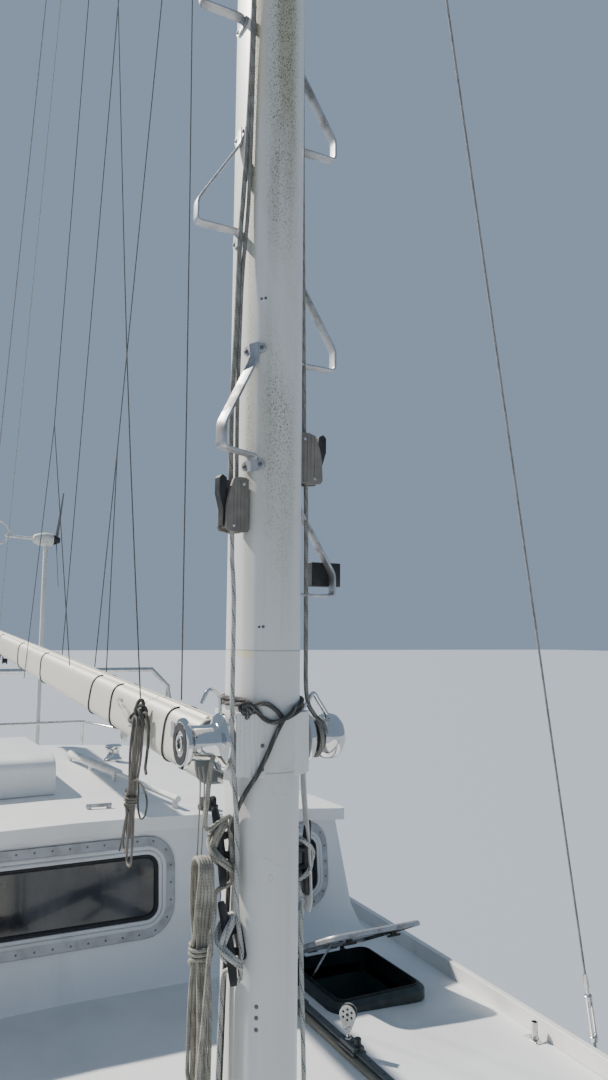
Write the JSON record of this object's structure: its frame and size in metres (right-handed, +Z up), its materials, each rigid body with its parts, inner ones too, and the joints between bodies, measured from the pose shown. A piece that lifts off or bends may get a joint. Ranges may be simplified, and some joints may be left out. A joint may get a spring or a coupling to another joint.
{
  "type": "sailing yacht",
  "caption": "Cruising sailing yacht, cutter rigged, with full-width pilothouse, stepped mast, boom, deck hatches, steering wheel, rudder, propeller, stern arch and wind generator.",
  "frame": {"origin": "on the waterline, on the centreline, halfway along the deck between stem and transom", "axes": "+X forward to the bow, +Y to port, +Z up"},
  "size_m": [13.6288, 3.8002, 18.11],
  "materials": {
    "hull_paint": "white gloss paint with a dark boot top and dark antifouling below the waterline",
    "deck_paint": "weathered white deck paint",
    "bottom_paint": "dark matt antifouling",
    "spar_paint": "weathered light grey-white spar paint with dark streaks",
    "boom_paint": "weathered cream paint",
    "alloy": "dull anodised and weathered",
    "steel": "polished stainless, dulled",
    "bronze": "dull bronze",
    "window_glass": "dark tinted glass",
    "smoked_plastic": "smoky blue-grey acrylic",
    "dark_plastic": "black, weathered",
    "composite": "grey-brown weathered ribbed casting",
    "wood": "oiled teak gone grey-brown",
    "rope": "grey and white flecked braid"
  },
  "bodies": {
    "root": {"hull": "hull_paint", "keel": "bottom_paint", "skeg": "bottom_paint", "shaft_tube": "bronze", "toe_rail_port": "alloy", "toe_rail_starboard": "alloy", "pilothouse": "deck_paint", "roof": "deck_paint", "sea_hood": "deck_paint", "window_front_centre_frame": "alloy", "window_front_centre_pane": "window_glass", "window_front_port_frame": "alloy", "window_front_port_pane": "window_glass", "window_front_starboard_frame": "alloy", "window_front_starboard_pane": "window_glass", "window_side_port_frame": "alloy", "window_side_port_pane": "window_glass", "window_side_starboard_frame": "alloy", "window_side_starboard_pane": "window_glass", "hatch_frame_port": "dark_plastic", "hatch_frame_starboard": "dark_plastic", "sheet_track_port": "alloy", "sheet_track_starboard": "alloy", "mast": "spar_paint", "rope_clutch_port": "composite", "rope_clutch_starboard": "composite", "spreaders_lower": "spar_paint", "spreaders_upper": "spar_paint", "shrouds_port": "steel", "shrouds_starboard": "steel", "forestay": "steel", "inner_forestay": "steel", "backstay": "steel", "bow_fitting": "steel", "anchor": "steel", "windlass": "steel", "pulpit": "steel", "stern_arch": "steel", "pedestal": "deck_paint", "cockpit_winch_port": "steel", "cockpit_winch_starboard": "steel", "wind_generator_pole": "spar_paint", "halyard_hank": "rope"},
    "boom": {"boom": "boom_paint", "boom_hank": "rope"},
    "rudder": {"rudder": "bottom_paint"},
    "wheel": {"steering_wheel": "steel"},
    "propeller": {"propeller": "bronze"},
    "wind_head": {"wind_generator_head": "composite"},
    "wind_rotor": {"wind_generator_rotor": "dark_plastic"},
    "winch_port": {"mast_winch_port": "steel"},
    "winch_starboard": {"mast_winch_starboard": "steel"},
    "hatch_port": {"hatch_lid_port": "smoked_plastic"},
    "hatch_starboard": {"hatch_lid_starboard": "smoked_plastic"},
    "slide": {"companion_slide": "smoked_plastic"},
    "door": {"companion_door": "wood"},
    "seat_port": {"seat_lid_port": "wood"},
    "seat_starboard": {"seat_lid_starboard": "wood"},
    "locker_lid": {"anchor_locker_lid": "deck_paint"}
  },
  "joints": [
    {"name": "boom_swing", "type": "hinge", "parent": "root", "child": "boom", "pos_m": [1.25, 0, 2.485], "axis": [0, 0, 1], "range_deg": [-65, 65]},
    {"name": "wheel_turn", "type": "hinge", "parent": "root", "child": "wheel", "pos_m": [-4.76, 0, 1.5], "axis": [1, 0, 0], "range_deg": [-270, 270]},
    {"name": "rudder_turn", "type": "hinge", "parent": "root", "child": "rudder", "pos_m": [-5.15, 0, -0.5], "axis": [0, 0, 1], "range_deg": [-35, 35]},
    {"name": "propeller_spin", "type": "hinge", "parent": "root", "child": "propeller", "pos_m": [-4.42, 0, -0.7], "axis": [1, 0, 0], "continuous": true},
    {"name": "wind_yaw", "type": "hinge", "parent": "root", "child": "wind_head", "pos_m": [-6, 0.68, 3.74], "axis": [0, 0, 1], "continuous": true},
    {"name": "wind_spin", "type": "hinge", "parent": "wind_head", "child": "wind_rotor", "pos_m": [-6, 0.78, 3.86], "axis": [0, 1, 0], "continuous": true},
    {"name": "winch_port_turn", "type": "hinge", "parent": "root", "child": "winch_port", "pos_m": [1.45, 0.15, 2.557], "axis": [0, 1, 0], "continuous": true},
    {"name": "winch_starboard_turn", "type": "hinge", "parent": "root", "child": "winch_starboard", "pos_m": [1.45, -0.15, 2.557], "axis": [0, 1, 0], "continuous": true},
    {"name": "hatch_port_open", "type": "hinge", "parent": "root", "child": "hatch_port", "pos_m": [-0.572, 1.2675, 1.214], "axis": [0, -1, 0], "range_deg": [-25, 78]},
    {"name": "hatch_starboard_open", "type": "hinge", "parent": "root", "child": "hatch_starboard", "pos_m": [-0.572, -1.2675, 1.214], "axis": [0, -1, 0], "range_deg": [0, 103]},
    {"name": "companion_slide_move", "type": "slide", "parent": "root", "child": "slide", "axis": [1, 0, 0], "range_m": [0, 0.68]},
    {"name": "companion_door_open", "type": "hinge", "parent": "root", "child": "door", "pos_m": [-3.344, -0.636, 1.5], "axis": [0, 0, 1], "range_deg": [0, 95]},
    {"name": "seat_lid_port_open", "type": "hinge", "parent": "root", "child": "seat_port", "pos_m": [-4.44, 0.935, 1.0853], "axis": [-1, 0, 0], "range_deg": [0, 80]},
    {"name": "seat_lid_starboard_open", "type": "hinge", "parent": "root", "child": "seat_starboard", "pos_m": [-4.44, -0.935, 1.0853], "axis": [1, 0, 0], "range_deg": [0, 80]},
    {"name": "locker_lid_open", "type": "hinge", "parent": "root", "child": "locker_lid", "pos_m": [4.56, 0, 1.4703], "axis": [0, -1, 0], "range_deg": [0, 85]}
  ],
  "couplings": [
    {"joint": "rudder_turn", "follows": "wheel_turn", "ratio": 0.1296}
  ]
}
